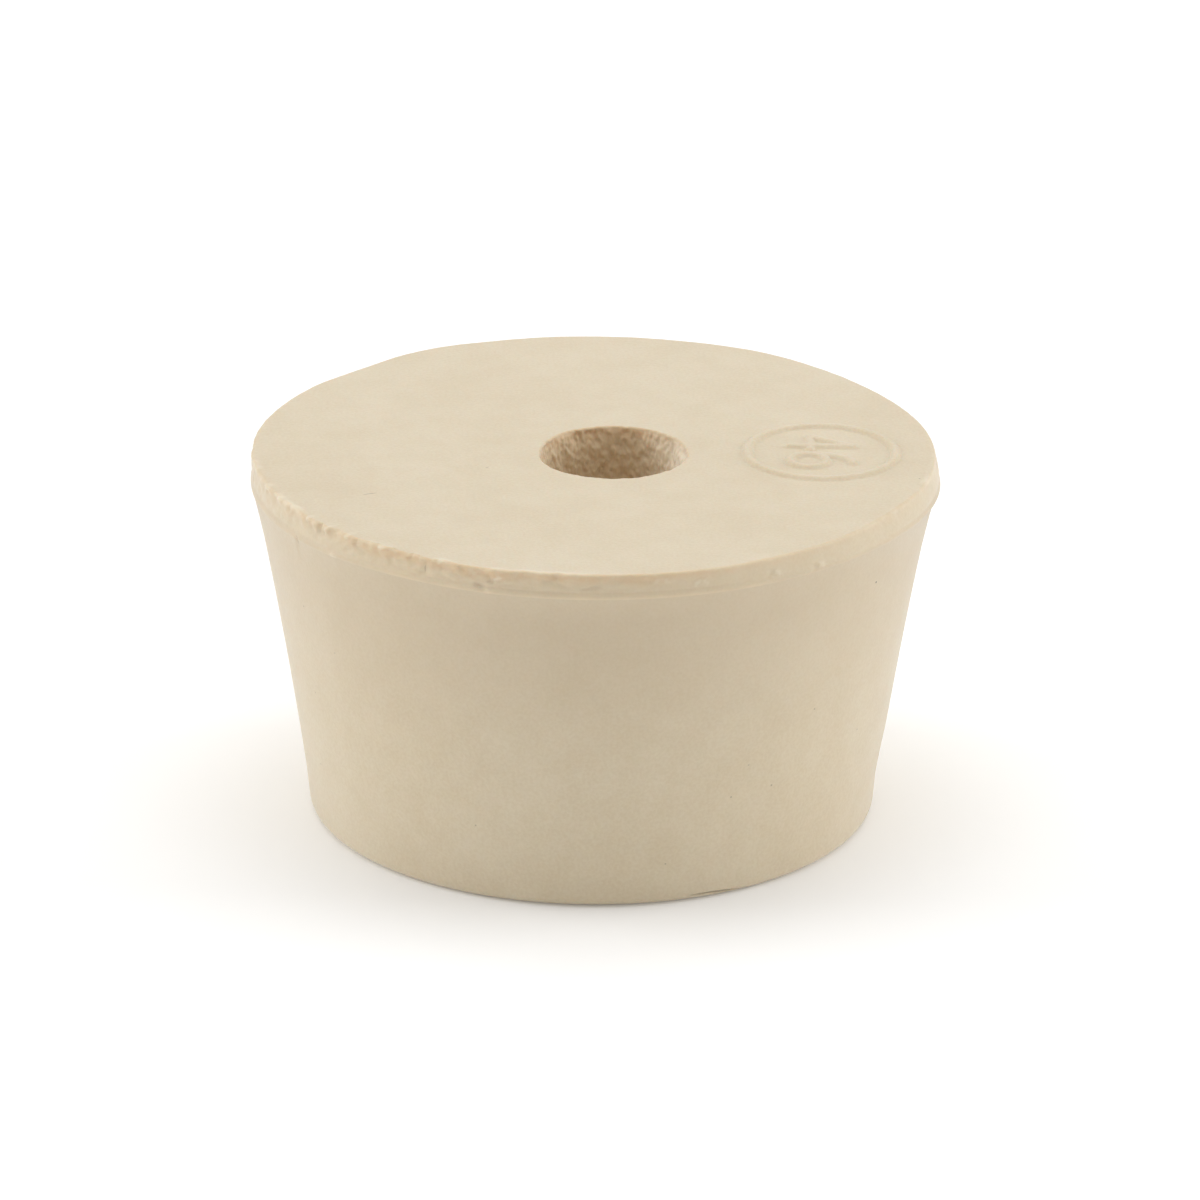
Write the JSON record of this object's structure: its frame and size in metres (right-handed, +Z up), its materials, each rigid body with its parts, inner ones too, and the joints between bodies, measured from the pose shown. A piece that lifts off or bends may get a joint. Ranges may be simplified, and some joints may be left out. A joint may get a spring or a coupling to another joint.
{
  "type": "rubber stopper",
  "caption": "Tapered round rubber stopper with a tube bore drilled through it, a trimmed band round its large end and a raised size mark; it plugs a neck and grips a tube.",
  "frame": {"origin": "centre of the small end's face, which the stopper stands on", "axes": "+Z up the stopper's axis to the large end, +X from the axis towards the raised size mark"},
  "size_m": [0.046, 0.046, 0.0252],
  "materials": {
    "rubber": "matt cream natural rubber, moulded"
  },
  "bodies": {
    "root": {"stopper": "rubber"}
  },
  "joints": []
}
